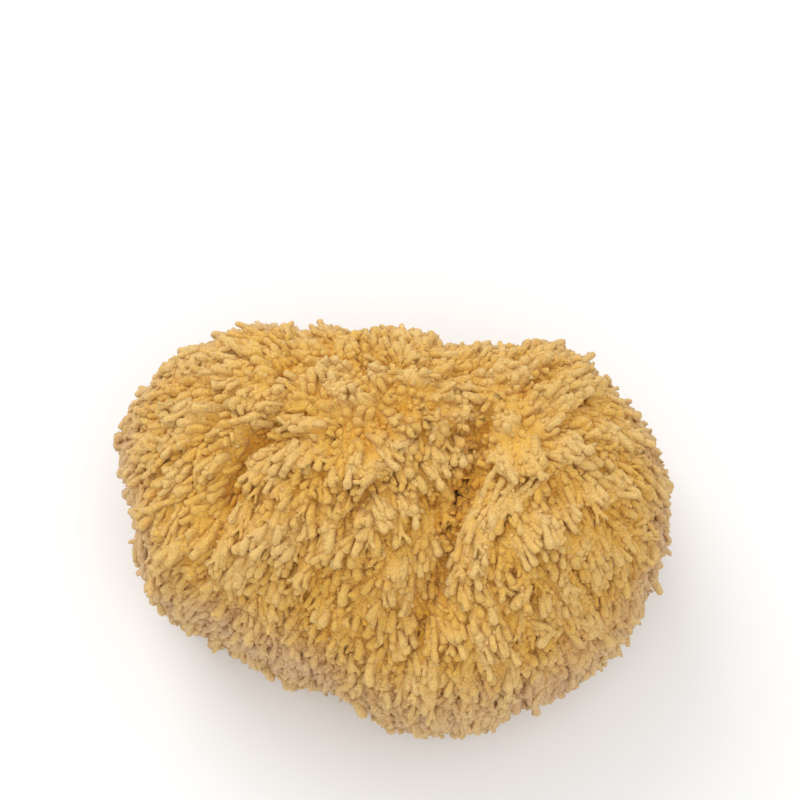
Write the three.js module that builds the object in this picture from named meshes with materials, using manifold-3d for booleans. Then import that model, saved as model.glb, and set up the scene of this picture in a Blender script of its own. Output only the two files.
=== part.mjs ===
// A large natural bath sponge, at its real size in millimetres, +Z up.
// It grew as one piece on a rock, where it was cut off flat, and it lies on that cut.
// The origin is in the plane of the cut, under the middle of the sponge's outline.
// The surface is the one that the tips of the tufts reach.
import * as THREE from "three";
import { ImprovedNoise } from "three/addons/math/ImprovedNoise.js";
import { mergeVertices } from "three/addons/utils/BufferGeometryUtils.js";
import Module from "manifold-3d";

// Driving dimensions.
const CROWN_HEIGHT = 88; // from the cut to the top of the crown
const GIRTH_HEIGHT = 36; // where the sponge is widest
const KEEL_DEPTH = 52; // how far below the girth it would close, had it not been cut
const CROWN_SHIFT = new THREE.Vector2(3, 5); // how far the crown stands from the middle of the girth
// Girth radius every 20 degrees, anticlockwise from +X.
const GIRTH_RADII = [84, 81, 72, 51, 51, 49, 64, 74, 82, 73, 71, 58, 55, 55, 63, 69, 76, 81];
// The exponents of the loaf's profile: 1 gives an ellipsoid, and less gives a boxier loaf.
const SIDE_ROUNDNESS = 0.86;
const CROWN_ROUNDNESS = 0.88;
const SURFACE_DETAIL = 19; // cuts of each edge of the icosahedron that is moulded into the sponge

// Broad swellings: where each stands in plan, its reach and its height.
const SWELLINGS = [
  { name: "left lobe", x: -38, y: 10, reach: 24, height: 4 },
  { name: "right lobe", x: 50, y: -2, reach: 20, height: 4.5 },
  { name: "back ridge", x: 2, y: 40, reach: 20, height: 2 },
  { name: "front bulge", x: 18, y: -50, reach: 16, height: 2.5 },
];

// Clefts between the lobes: a line in plan from start past middle to end, with its width and depth.
const CLEFTS = [
  { name: "main cleft", start: [26, 22], middle: [26, -14], end: [10, -42], width: 6.5, depth: 7 },
  { name: "left cleft", start: [-30, 16], middle: [-33, 4], end: [-41, -8], width: 5, depth: 4 },
  { name: "back cleft", start: [-20, 30], middle: [-27, 46], end: [-24, 62], width: 6, depth: 3.5 },
];

// Oscula, the outlets at the heads of the sponge's canals: plan position, mouth radius and depth.
const OSCULA = [
  { x: 27, y: 7, radius: 4.4, depth: 9 },
  { x: 24, y: -4, radius: 3, depth: 7 },
  { x: 14, y: -9, radius: 3.4, depth: 8 },
  { x: 33, y: -15.5, radius: 2.6, depth: 6 },
  { x: -34, y: 5.5, radius: 3.8, depth: 8 },
  { x: -26, y: 28, radius: 3, depth: 6 },
];
const OSCULUM_SIDES = 12;
const OSCULUM_RINGS = 8;

// Clumps of tufts roughen the surface at two scales.
const ROUGHNESS = [
  { scale: 24, height: 1.7 },
  { scale: 12, height: 1.2 },
];

const COLOUR = 0xd9a441;
const UP = new THREE.Vector3(0, 0, 1);

const wasm = await Module();
wasm.setup();
const noise = new ImprovedNoise();

// The widest outline, as a closed curve through the girth radii.
const girth = new THREE.CatmullRomCurve3(
  GIRTH_RADII.map((radius, i) => {
    const azimuth = (i / GIRTH_RADII.length) * 2 * Math.PI;
    return new THREE.Vector3(radius * Math.cos(azimuth), radius * Math.sin(azimuth), 0);
  }),
  true,
);

// Moves a point of the unit sphere to the sponge's smooth shape.
function mould(direction) {
  const azimuth = Math.atan2(direction.y, direction.x);
  const turn = THREE.MathUtils.euclideanModulo(azimuth / (2 * Math.PI), 1);
  const rim = girth.getPoint(turn);
  const spread = Math.hypot(direction.x, direction.y) ** SIDE_ROUNDNESS;
  const rise = Math.abs(direction.z) ** CROWN_ROUNDNESS;
  const reach = direction.z > 0 ? CROWN_HEIGHT - GIRTH_HEIGHT : -KEEL_DEPTH;
  const lean = direction.z > 0 ? rise ** 2 : 0;
  return new THREE.Vector3(
    rim.x * spread + CROWN_SHIFT.x * lean,
    rim.y * spread + CROWN_SHIFT.y * lean,
    GIRTH_HEIGHT + reach * rise,
  );
}

// A hump of height 1 that fades with distance.
const bell = (distance, reach) => Math.exp(-0.5 * (distance / reach) ** 2);

// Distance in plan from a point to a cleft's line.
function distanceToCleft(point, cleft) {
  const line = new THREE.QuadraticBezierCurve(
    new THREE.Vector2(...cleft.start),
    new THREE.Vector2(...cleft.middle),
    new THREE.Vector2(...cleft.end),
  );
  const plan = new THREE.Vector2(point.x, point.y);
  return Math.min(...line.getPoints(12).map((q) => q.distanceTo(plan)));
}

// How far the surface stands out from the smooth shape at a point with the given normal.
function relief(point, normal) {
  let height = 0;
  for (const rough of ROUGHNESS) {
    const { x, y, z } = point.clone().divideScalar(rough.scale);
    height += rough.height * noise.noise(x, y, z);
  }
  for (const swelling of SWELLINGS) {
    const distance = Math.hypot(point.x - swelling.x, point.y - swelling.y);
    height += swelling.height * bell(distance, swelling.reach);
  }
  // The clefts are on the upper side only.
  const upper = THREE.MathUtils.smoothstep(normal.z, 0, 0.4);
  for (const cleft of CLEFTS) {
    height -= upper * cleft.depth * bell(distanceToCleft(point, cleft), cleft.width);
  }
  return height;
}

// The welded shape of a three.js geometry, with only its positions.
function weld(geometry) {
  geometry.deleteAttribute("normal");
  geometry.deleteAttribute("uv");
  return mergeVertices(geometry, 1e-5);
}

// The sponge before it is cut from its rock: an icosahedron moulded to shape, then given its relief.
function wholeSponge() {
  const geometry = weld(new THREE.IcosahedronGeometry(1, SURFACE_DETAIL));
  const position = geometry.getAttribute("position");
  const point = new THREE.Vector3();
  for (let i = 0; i < position.count; i++) {
    point.fromBufferAttribute(position, i).normalize();
    position.setXYZ(i, ...mould(point));
  }
  geometry.computeVertexNormals();
  const smooth = geometry.getAttribute("normal");
  const normal = new THREE.Vector3();
  for (let i = 0; i < position.count; i++) {
    point.fromBufferAttribute(position, i);
    normal.fromBufferAttribute(smooth, i);
    position.setXYZ(i, ...point.addScaledVector(normal, relief(point, normal)));
  }
  return weld(geometry);
}

// What the knife takes away: everything below the cut.
function belowTheCut() {
  const size = 4 * CROWN_HEIGHT;
  return weld(new THREE.BoxGeometry(size, size, size).translate(0, 0, -size / 2));
}

// The hollow of one osculum, sunk square to the surface above its plan position.
function hollow(osculum, surface) {
  const above = new THREE.Vector3(osculum.x, osculum.y, 2 * CROWN_HEIGHT);
  const plumb = new THREE.Raycaster(above, UP.clone().negate());
  const { point, face } = plumb.intersectObject(surface)[0];
  const bowl = new THREE.SphereGeometry(1, OSCULUM_SIDES, OSCULUM_RINGS);
  bowl.rotateX(Math.PI / 2);
  bowl.scale(osculum.radius, osculum.radius, osculum.depth);
  bowl.applyQuaternion(new THREE.Quaternion().setFromUnitVectors(UP, face.normal));
  bowl.translate(...point);
  return weld(bowl);
}

function toSolid(geometry) {
  return new wasm.Manifold(
    new wasm.Mesh({
      numProp: 3,
      vertProperties: geometry.getAttribute("position").array,
      triVerts: new Uint32Array(geometry.index.array),
    }),
  );
}

function toGeometry(solid) {
  const { vertProperties, triVerts } = solid.getMesh();
  const geometry = new THREE.BufferGeometry();
  geometry.setAttribute("position", new THREE.BufferAttribute(vertProperties, 3));
  geometry.setIndex(new THREE.BufferAttribute(triVerts, 1));
  geometry.computeVertexNormals();
  return geometry;
}

const whole = wholeSponge();
const surface = new THREE.Mesh(whole);
let solid = toSolid(whole).subtract(toSolid(belowTheCut()));
for (const osculum of OSCULA) {
  solid = solid.subtract(toSolid(hollow(osculum, surface)));
}

const geometry = toGeometry(solid);
geometry.computeBoundingBox();
const middle = geometry.boundingBox.getCenter(new THREE.Vector3());
geometry.translate(-middle.x, -middle.y, 0);

const sponge = new THREE.Mesh(
  geometry,
  new THREE.MeshStandardMaterial({ color: COLOUR, roughness: 0.95, metalness: 0 }),
);
sponge.name = "sponge";

const model = new THREE.Group();
model.add(sponge);

export default model;
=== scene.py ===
"""The looks of a large natural bath sponge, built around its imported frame.

The sponge is one dried skeleton. Its body is a porous lump, cut off flat below. Every other side is grown
out in overlapping lobes, combed away from the crown, with blunt tufts and grains on them. All sizes are in
metres.
"""

import logging
import math
from collections.abc import Callable, Iterator
from contextlib import contextmanager
from dataclasses import dataclass, field
from enum import Enum

import bpy
import numpy as np
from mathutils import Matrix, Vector
from mathutils.bvhtree import BVHTree
from mathutils.kdtree import KDTree


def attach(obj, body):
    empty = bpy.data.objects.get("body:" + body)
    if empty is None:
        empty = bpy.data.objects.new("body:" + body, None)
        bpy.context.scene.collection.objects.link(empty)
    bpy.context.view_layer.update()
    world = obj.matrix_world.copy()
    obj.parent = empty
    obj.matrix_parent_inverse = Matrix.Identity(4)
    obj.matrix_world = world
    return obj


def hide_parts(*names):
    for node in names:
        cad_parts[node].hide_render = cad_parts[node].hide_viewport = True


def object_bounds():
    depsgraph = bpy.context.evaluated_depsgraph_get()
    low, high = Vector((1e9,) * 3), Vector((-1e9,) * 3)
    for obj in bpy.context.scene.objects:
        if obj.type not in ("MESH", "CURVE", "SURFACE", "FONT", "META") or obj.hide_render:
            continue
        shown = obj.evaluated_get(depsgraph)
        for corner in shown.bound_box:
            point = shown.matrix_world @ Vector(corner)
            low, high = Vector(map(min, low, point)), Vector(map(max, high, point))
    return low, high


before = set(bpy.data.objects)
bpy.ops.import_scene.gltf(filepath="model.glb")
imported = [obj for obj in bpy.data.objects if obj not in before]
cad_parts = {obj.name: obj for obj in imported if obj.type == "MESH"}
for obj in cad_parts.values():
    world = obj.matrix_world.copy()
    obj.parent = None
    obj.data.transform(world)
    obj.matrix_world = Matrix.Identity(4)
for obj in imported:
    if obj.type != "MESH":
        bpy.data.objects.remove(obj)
CAD_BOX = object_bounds()
SOLID = "sponge"
BODY = "root"
MM = 0.001
CORE = ("core_x", "core_y", "core_z")  # where a vertex was before the lobes grew
FLOOR_GAP = 0.15 * MM  # the least height of anything over the floor
TIP_RISE = 0.22  # how much higher a tuft's tip counts for its colour than its root
LOG = logging.getLogger("bath_sponge")

Pair = tuple[float, ...]  # two numbers, such as a least and a greatest one or a place in the plan


def mm(*sizes: float) -> tuple[float, ...]:
    """Sizes given in millimetres, in metres."""
    return tuple(size * MM for size in sizes)


# ---- Work at the bench ----


def pick_up(piece: bpy.types.Object) -> None:
    """Makes a piece the only selected object and the active one."""
    bpy.ops.object.select_all(action="DESELECT")
    piece.select_set(True)
    bpy.context.view_layer.objects.active = piece


@contextmanager
def editing(piece: bpy.types.Object) -> Iterator[bpy.types.Mesh]:
    """Opens a piece in edit mode, and closes it again.

    Args:
        piece: the mesh object to edit.

    Returns:
        An iterator that gives the piece's mesh once.
    """
    pick_up(piece)
    bpy.ops.object.mode_set(mode="EDIT")
    bpy.ops.mesh.select_mode(type="VERT")
    yield piece.data
    bpy.ops.object.mode_set(mode="OBJECT")


def apply_modifier(piece: bpy.types.Object, kind: str, **settings: object) -> None:
    """Adds a modifier to a piece and applies it.

    Args:
        piece: the mesh object to change.
        kind: the modifier's type.
        settings: the modifier's own settings.
    """
    pick_up(piece)
    modifier = piece.modifiers.new(kind.title(), kind)
    for name, value in settings.items():
        setattr(modifier, name, value)
    bpy.ops.object.modifier_apply(modifier=modifier.name)


def remesh(piece: bpy.types.Object, voxel: float, smoothing: int) -> None:
    """Remeshes a piece in voxels, and smooths it.

    Args:
        piece: the mesh object to change.
        voxel: the voxels' size.
        smoothing: how many times it is smoothed.
    """
    apply_modifier(piece, "REMESH", mode="VOXEL", voxel_size=voxel)
    apply_modifier(piece, "SMOOTH", factor=0.5, iterations=smoothing)


def select_faces(piece: bpy.types.Object, wanted: Callable[[Vector, Vector], bool]) -> None:
    """Selects the faces that a test on their middle and normal wants.

    Args:
        piece: the mesh object, in edit mode.
        wanted: the test.
    """
    bpy.ops.mesh.select_all(action="DESELECT")
    bpy.ops.object.mode_set(mode="OBJECT")
    for face in piece.data.polygons:
        face.select = wanted(face.center, face.normal)
    bpy.ops.object.mode_set(mode="EDIT")
    bpy.ops.mesh.select_mode(type="FACE")


def triangles_in(mesh: bpy.types.Mesh) -> int:
    """How many triangles a mesh has."""
    mesh.calc_loop_triangles()
    return len(mesh.loop_triangles)


def dress(piece: bpy.types.Object, finish: bpy.types.Material) -> None:
    """Gives a finished piece its material and its place in the frame, and reports it.

    Args:
        piece: the mesh object.
        finish: its material.
    """
    piece.data.materials.append(finish)
    pick_up(piece)
    bpy.ops.object.shade_smooth()
    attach(piece, BODY)
    LOG.info("%s: %d triangles", piece.name, triangles_in(piece.data))


def places_of(mesh: bpy.types.Mesh) -> np.ndarray:
    """The places of a mesh's vertices, one row each."""
    found = np.empty(len(mesh.vertices) * 3, np.float32)
    mesh.vertices.foreach_get("co", found)
    return found.reshape(-1, 3).astype(float)


def normals_of(mesh: bpy.types.Mesh) -> np.ndarray:
    """The normals of a mesh's vertices, one row each."""
    found = np.empty(len(mesh.vertices) * 3, np.float32)
    mesh.vertex_normals.foreach_get("vector", found)
    return found.reshape(-1, 3).astype(float)


def put_places(mesh: bpy.types.Mesh, places: np.ndarray) -> None:
    """Moves a mesh's vertices to the given places."""
    mesh.vertices.foreach_set("co", places.astype(np.float32).ravel())
    mesh.update()


def put_attribute(mesh: bpy.types.Mesh, name: str, values: np.ndarray) -> None:
    """Stores one number for each vertex, which the finishes read by its name."""
    mesh.attributes.new(name, "FLOAT", "POINT").data.foreach_set("value", values.astype(np.float32))


def take_attribute(mesh: bpy.types.Mesh, name: str) -> np.ndarray:
    """Reads the numbers that a mesh stores for its vertices under a name, and deletes them there."""
    attribute = mesh.attributes[name]
    found = np.empty(len(mesh.vertices), np.float32)
    attribute.data.foreach_get("value", found)
    mesh.attributes.remove(attribute)
    return found.astype(float)


def unit(vectors: np.ndarray) -> np.ndarray:
    """The same vectors, each with length 1."""
    return vectors / np.maximum(np.linalg.norm(vectors, axis=-1, keepdims=True), 1e-12)


def ease(values: np.ndarray, low: float, high: float) -> np.ndarray:
    """A smooth step from 0 at low to 1 at high."""
    t = np.clip((values - low) / (high - low), 0, 1)
    return t * t * (3 - 2 * t)


def nearest(places: np.ndarray, seeds: np.ndarray, count: int) -> np.ndarray:
    """Finds the seeds nearest to each place.

    Args:
        places: the places.
        seeds: where the seeds are.
        count: how many seeds are wanted for each place.

    Returns:
        The seeds' numbers, one row for each place.
    """
    tree = KDTree(len(seeds))
    for number, seed in enumerate(seeds):
        tree.insert(seed, number)
    tree.balance()
    return np.array([[number for _, number, _ in tree.find_n(place, count)] for place in places])


# ---- Shader maths ----


@dataclass(frozen=True)
class Wire:
    """A number socket of a material, on which Python's operators add Math nodes."""

    bench: "FinishBench"
    socket: bpy.types.NodeSocket

    def _math(self, operation: str, *values: object, clamp: bool = False) -> "Wire":
        """Adds one Math node.

        Args:
            operation: the node's operation.
            values: its inputs, wires or numbers.
            clamp: whether its result is kept between 0 and 1.

        Returns:
            The node's result.
        """
        settings = {"operation": operation, "use_clamp": clamp}
        return self.bench.node("ShaderNodeMath", settings, dict(enumerate(values)))

    def __add__(self, other: object) -> "Wire":
        """This plus other."""
        return self._math("ADD", self, other)

    def __radd__(self, other: object) -> "Wire":
        """Other plus this."""
        return self._math("ADD", other, self)

    def __sub__(self, other: object) -> "Wire":
        """This minus other."""
        return self._math("SUBTRACT", self, other)

    def __rsub__(self, other: object) -> "Wire":
        """Other minus this."""
        return self._math("SUBTRACT", other, self)

    def __mul__(self, other: object) -> "Wire":
        """This times other."""
        return self._math("MULTIPLY", self, other)

    def __rmul__(self, other: object) -> "Wire":
        """Other times this."""
        return self._math("MULTIPLY", other, self)

    def clamped(self) -> "Wire":
        """This, kept between 0 and 1."""
        return self._math("ADD", self, 0.0, clamp=True)

    def eased(self, low: float, high: float) -> "Wire":
        """A smooth step from 0 where this is low to 1 where it is high."""
        settings = {"interpolation_type": "SMOOTHSTEP"}
        values = {"Value": self, "From Min": low, "From Max": high}
        return self.bench.node("ShaderNodeMapRange", settings, values)


class FinishBench:
    """Builds one material's nodes."""

    def __init__(self, name: str) -> None:
        """Starts an empty material.

        Args:
            name: the material's name.
        """
        self.material = bpy.data.materials.new(name)
        self.material.use_nodes = True
        self.tree = self.material.node_tree
        self.tree.nodes.clear()

    def node(self, kind: str, settings: dict, values: dict, output: object = 0) -> Wire:
        """Adds a node, sets it, and fills its sockets.

        Args:
            kind: the node's type.
            settings: its own settings.
            values: for each socket's name or number, a wire, a number or a colour.
            output: the name or number of the socket that is wanted.

        Returns:
            The wanted output.
        """
        node = self.tree.nodes.new(kind)
        for name, value in settings.items():
            setattr(node, name, value)
        for name, value in values.items():
            socket = node.inputs[name]
            if isinstance(value, Wire):
                self.tree.links.new(value.socket, socket)
            else:
                socket.default_value = value
        return Wire(self, node.outputs[output])

    def attribute(self, name: str) -> Wire:
        """The number that the piece stores at each vertex under a name."""
        return self.node("ShaderNodeAttribute", {"attribute_name": name}, {}, "Fac")

    def place(self) -> Wire:
        """The point's place on the piece, in metres."""
        return self.node("ShaderNodeTexCoord", {}, {}, "Object")

    def height(self) -> Wire:
        """The point's height above the cut face."""
        return self.node("ShaderNodeSeparateXYZ", {}, {"Vector": self.place()}, "Z")

    def noise(self, size: float, detail: float, roughness: float = 0.5) -> Wire:
        """Noise in space.

        Args:
            size: about how far apart its lumps are, in metres.
            detail: how many finer layers it has.
            roughness: how strong each finer layer is.

        Returns:
            The noise, between 0 and 1.
        """
        values = {"Vector": self.place(), "Scale": 1 / size, "Detail": detail, "Roughness": roughness}
        return self.node("ShaderNodeTexNoise", {}, values, "Fac")

    def mix(self, share: Wire, first: object, second: object, blend: str = "MIX") -> Wire:
        """Mixes two colours.

        Args:
            share: how much of the second there is.
            first: the first colour, a wire or four numbers.
            second: the second colour, a wire or four numbers.
            blend: how the second is laid on the first.

        Returns:
            The mixed colour.
        """
        settings = {"data_type": "RGBA", "blend_type": blend}
        return self.node("ShaderNodeMix", settings, {0: share, 6: first, 7: second}, 2)

    def bump(self, height: Wire, depth: float, strength: float) -> Wire:
        """Turns a height into a bent normal.

        Args:
            height: the height, between 0 and 1.
            depth: what 1 stands for, in metres.
            strength: how much of the bump is used.

        Returns:
            The bent normal.
        """
        values = {"Height": height, "Distance": depth, "Strength": strength}
        return self.node("ShaderNodeBump", {}, values, "Normal")

    def finish(self, **sockets: object) -> bpy.types.Material:
        """Ends the material in a Principled shader.

        Args:
            sockets: its sockets' values or wires, with _ for each space in a name.

        Returns:
            The finished material.
        """
        values = {name.replace("_", " "): value for name, value in sockets.items()}
        shader = self.node("ShaderNodeBsdfPrincipled", {}, values, "BSDF")
        output = self.tree.nodes.new("ShaderNodeOutputMaterial")
        self.tree.links.new(shader.socket, output.inputs["Surface"])
        return self.material


# ---- Finishes ----

Colour = tuple[float, float, float, float]


@dataclass(frozen=True)
class FibreFinish:
    """Dry spongin fibre: saturated ochre down between the lobes, golden above, and pale at their tips. The
    ochre between the lobes is partly the fibre's own colour and partly painted glow: it is made lighter
    than the fibre would be there, in place of light scattered through the fibre into the hollows.
    """

    # deep: partly the fibre's saturated colour, partly painted glow that lifts the shade in the hollows
    # between the lobes
    deep: Colour = (0.83, 0.445, 0.06, 1)
    golden: Colour = (0.79, 0.46, 0.088, 1)
    pale: Colour = (0.82, 0.57, 0.235, 1)
    tan: Colour = (0.71, 0.465, 0.26, 1)
    cut: Colour = (0.76, 0.52, 0.23, 1)
    shade: Colour = (0.80, 0.77, 0.68, 1)  # what dims the closed fuzz
    sheen: Colour = (1.0, 0.86, 0.66, 1)
    fuzz_size: float = 0.6 * MM
    mottle_size: float = 1.3 * MM
    knob_size: float = 1.2 * MM
    patch_size: float = 22 * MM
    low_heights: Pair = mm(8, 66)  # between these the low side's tan fades out
    side_heights: Pair = mm(48, 84)  # and here that of the steep sides
    tone_share: float = 0.16  # how much each tuft's tone counts as rise
    mottle_share: float = 0.22  # and the mottle
    golden_rise: Pair = (0.05, 0.5)  # from the deep colour to the golden one
    pale_rise: Pair = (0.45, 1.05)  # and on to the pale one
    pale_share: Pair = (0.35, 0.5)  # how pale the tips are at least, and what their tone adds
    tan_shares: tuple[float, float, float] = (0.9, 0.75, 0.9)  # of the low side, steep side and patches
    tan_rise: Pair = (0.05, 0.6)  # the tan is thinner in the hollows
    least_tan: float = 0.4
    cut_share: Pair = (0.55, 0.6)  # how much of the cut colour there is, and what the felt adds
    dullness: Pair = (0.78, 0.2)  # the roughness, and what the mottle adds
    fuzz_gaps: Pair = (0.42, 0.62)  # between these the fuzz turns from open to closed
    fuzz_shade: float = 0.75
    fuzz_height: float = 0.8
    knob_height: float = 0.6
    relief: float = 0.7 * MM
    relief_share: float = 0.8

    def make(self) -> bpy.types.Material:
        """Makes the material of the body and its tufts.

        Returns:
            The material.
        """
        bench = FinishBench("dry_fibre")
        rise = bench.attribute("rise")
        tone = bench.attribute("tone")
        patches = bench.noise(self.patch_size, 2.0)
        mottle = bench.noise(self.mottle_size, 3.0, 0.6)
        felt = bench.noise(self.fuzz_size, 3.0, 0.7)
        upper = (rise + self.tone_share * (tone - 0.5) + self.mottle_share * (mottle - 0.5)).clamped()
        # Low ground takes the deep colour, which is partly painted glow in the hollows.
        colour = bench.mix(upper.eased(*self.golden_rise), self.deep, self.golden)
        # Tan towards the bottom, on the steep sides and in random patches, thinner in the hollows.
        low = 1 - bench.height().eased(*self.low_heights)
        side = bench.attribute("side") * (1 - bench.height().eased(*self.side_heights))
        of_low, of_side, of_patches = self.tan_shares
        tan_amount = (of_low * low + of_side * side + of_patches * (patches - 0.5)).clamped()
        tan_amount = tan_amount * (self.least_tan + (1 - self.least_tan) * upper.eased(*self.tan_rise))
        colour = bench.mix(tan_amount, colour, self.tan)
        tips = upper.eased(*self.pale_rise) * (self.pale_share[0] + self.pale_share[1] * tone)
        colour = bench.mix(tips, colour, self.pale)
        cut = bench.attribute("open_face") * (self.cut_share[0] + self.cut_share[1] * felt).clamped()
        colour = bench.mix(cut, colour, self.cut)
        fuzz = bench.noise(self.fuzz_size, 2.0, 0.7)
        colour = bench.mix(self.fuzz_shade * fuzz.eased(*self.fuzz_gaps), colour, self.shade, "MULTIPLY")
        knobs = bench.noise(self.knob_size, 1.0)
        raised = self.fuzz_height * fuzz + self.knob_height * knobs
        return bench.finish(
            Base_Color=colour,
            Roughness=self.dullness[0] + self.dullness[1] * mottle,
            Normal=bench.bump(raised, self.relief, self.relief_share),
            Specular_IOR_Level=0.2,
            Sheen_Weight=0.25,
            Sheen_Roughness=0.5,
            Sheen_Tint=self.sheen,
        )


@dataclass(frozen=True)
class FloorFinish:
    """A plain pale tabletop."""

    pale: Colour = (0.9, 0.895, 0.89, 1)
    grey: Colour = (0.8, 0.8, 0.8, 1)
    grey_share: float = 0.04
    patch_size: float = 0.4

    def make(self) -> bpy.types.Material:
        """Makes the floor's material.

        Returns:
            The material.
        """
        bench = FinishBench("pale_tabletop")
        patches = self.grey_share * bench.noise(self.patch_size, 1.0)
        colour = bench.mix(patches, self.pale, self.grey)
        return bench.finish(Base_Color=colour, Roughness=0.9, Specular_IOR_Level=0.1)


# ---- Tuft patterns: each is modelled once and copied many times ----

Step = tuple[float, float, float]  # how far out and up a head is drawn, and how much its end grows


class TuftKind(Enum):
    """The tufts' habits."""

    FINGER = "finger"
    BUDDED = "budded"
    FORKED = "forked"
    KNOB = "knob"


@dataclass
class TuftPattern:
    """One tuft at the bench, one unit long up +Z and about one unit in radius.

    Its height runs along the grown tuft, and its width is in radii of the grown tuft.
    """

    kind: TuftKind
    sides: int = 5
    rings: tuple[Pair, ...] = ((0.5, 0.95), (0.76, 1.05), (0.92, 0.8))  # heights and radii
    root_radius: float = 0.8
    hair: float = 0.01  # what is nearer than this counts as the same place
    head_facing: float = 0.9  # a fork's heads are drawn from faces that face up more than this
    head_aside: float = 0.2  # and lie further from the middle
    bud_facing: float = 0.7  # a bud is drawn from the face that faces right more than this
    bud_heights: Pair = (0.56, 0.74)  # and lies between these
    bud_steps: tuple[Step, ...] = ((0.7, 0.09, 0.8), (0.45, 0.07, 0.6))
    fork_steps: tuple[Step, ...] = ((0.5, 0.14, 1.1), (0.25, 0.14, 1.0), (0.05, 0.06, 0.6))
    places: np.ndarray = field(init=False)
    corners: np.ndarray = field(init=False)
    starts: np.ndarray = field(init=False)
    map_places: np.ndarray = field(init=False)

    def model(self) -> "TuftPattern":
        """Models the pattern, keeps its numbers and clears the bench.

        Returns:
            This pattern.
        """
        bpy.ops.object.select_all(action="DESELECT")
        bpy.ops.mesh.primitive_circle_add(vertices=self.sides, radius=self.root_radius, fill_type="NGON")
        piece = bpy.context.object
        with editing(piece):
            bpy.ops.mesh.select_all(action="SELECT")
            self._raise_stem()
            bpy.ops.mesh.select_all(action="SELECT")
            bpy.ops.mesh.normals_make_consistent(inside=False)
            if self.kind is TuftKind.FORKED:
                self._fork(piece)
            else:
                self._close_tip(piece)
            if self.kind is TuftKind.BUDDED:
                self._bud(piece)
            bpy.ops.mesh.select_all(action="SELECT")
            bpy.ops.mesh.normals_make_consistent(inside=False)
            self._unwrap(piece)
        self._keep(piece.data)
        bpy.data.objects.remove(piece)
        return self

    def _raise_stem(self) -> None:
        """Extrudes the stem from the selected root, ring by ring."""
        height, radius = 0.0, self.root_radius
        for ring_height, ring_radius in self.rings:
            step = {"value": (0, 0, ring_height - height)}
            bpy.ops.mesh.extrude_region_move(TRANSFORM_OT_translate=step)
            factor = ring_radius / radius
            bpy.ops.transform.resize(value=(factor, factor, 1), center_override=(0, 0, ring_height))
            height, radius = ring_height, ring_radius

    def _close_tip(self, piece: bpy.types.Object) -> None:
        """Rounds off the end with a raised middle.

        Args:
            piece: the tuft on the bench, in edit mode.
        """
        top = self.rings[-1][0]
        select_faces(piece, lambda c, n: c.z > top - self.hair)
        bpy.ops.mesh.poke(offset=1.0 - top)

    def _bud(self, piece: bpy.types.Object) -> None:
        """Draws a short bud out of one side face.

        Args:
            piece: the tuft on the bench, in edit mode.
        """
        low, high = self.bud_heights
        select_faces(piece, lambda c, n: n.x > self.bud_facing and low < c.z < high)
        self._draw_out(self.bud_steps)

    def _fork(self, piece: bpy.types.Object) -> None:
        """Parts the selected end in two and draws out two heads.

        Args:
            piece: the tuft on the bench, in edit mode.
        """
        bpy.ops.mesh.select_all(action="DESELECT")
        top = self.rings[-1][0]
        bpy.ops.object.mode_set(mode="OBJECT")
        for vertex in piece.data.vertices:
            vertex.select = abs(vertex.co.z - top) < self.hair and abs(vertex.co.x) < self.hair
        bpy.ops.object.mode_set(mode="EDIT")
        bpy.ops.mesh.vert_connect()
        for side in (1, -1):
            select_faces(piece, lambda c, n, s=side: (
                n.z > self.head_facing and s * c.x > self.head_aside and c.z > top - self.hair
            ))
            self._draw_out(self.fork_steps, side, level=True)

    @staticmethod
    def _draw_out(steps: tuple[Step, ...], side: int = 1, level: bool = False) -> None:
        """Draws the selected face out, step by step.

        Args:
            steps: the steps.
            side: 1 to go right and -1 to go left.
            level: whether the end stays level as it grows.
        """
        for out, up, factor in steps:
            move = {"value": (out * side, 0, up)}
            bpy.ops.mesh.extrude_region_move(TRANSFORM_OT_translate=move)
            bpy.ops.transform.resize(value=(factor, factor, 1 if level else factor))

    def _unwrap(self, piece: bpy.types.Object) -> None:
        """Cuts the tuft open down its back and round its root, and lays it out flat.

        Args:
            piece: the tuft on the bench, in edit mode.
        """
        bpy.ops.mesh.select_all(action="DESELECT")
        bpy.ops.mesh.select_mode(type="EDGE")
        bpy.ops.object.mode_set(mode="OBJECT")
        points = [vertex.co for vertex in piece.data.vertices]
        for edge in piece.data.edges:
            ends = [points[i] for i in edge.vertices]
            root = all(end.z < self.hair for end in ends)
            back = all(abs(end.x) < self.hair and end.y > -self.hair for end in ends)
            edge.use_seam = root or back
        bpy.ops.object.mode_set(mode="EDIT")
        bpy.ops.mesh.select_all(action="SELECT")
        bpy.ops.uv.unwrap(method="ANGLE_BASED", margin=0.02)

    def _keep(self, mesh: bpy.types.Mesh) -> None:
        """Keeps the pattern's numbers.

        Args:
            mesh: the finished pattern's mesh.
        """
        self.places = places_of(mesh)
        self.corners = np.array([loop.vertex_index for loop in mesh.loops])
        self.starts = np.array([face.loop_start for face in mesh.polygons])
        uv = np.array([point.vector for point in mesh.uv_layers.active.uv])
        self.map_places = (uv - uv.min(0)) / np.ptp(uv, axis=0)
        LOG.info("pattern %s: %d triangles", self.kind.value, triangles_in(mesh))


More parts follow.
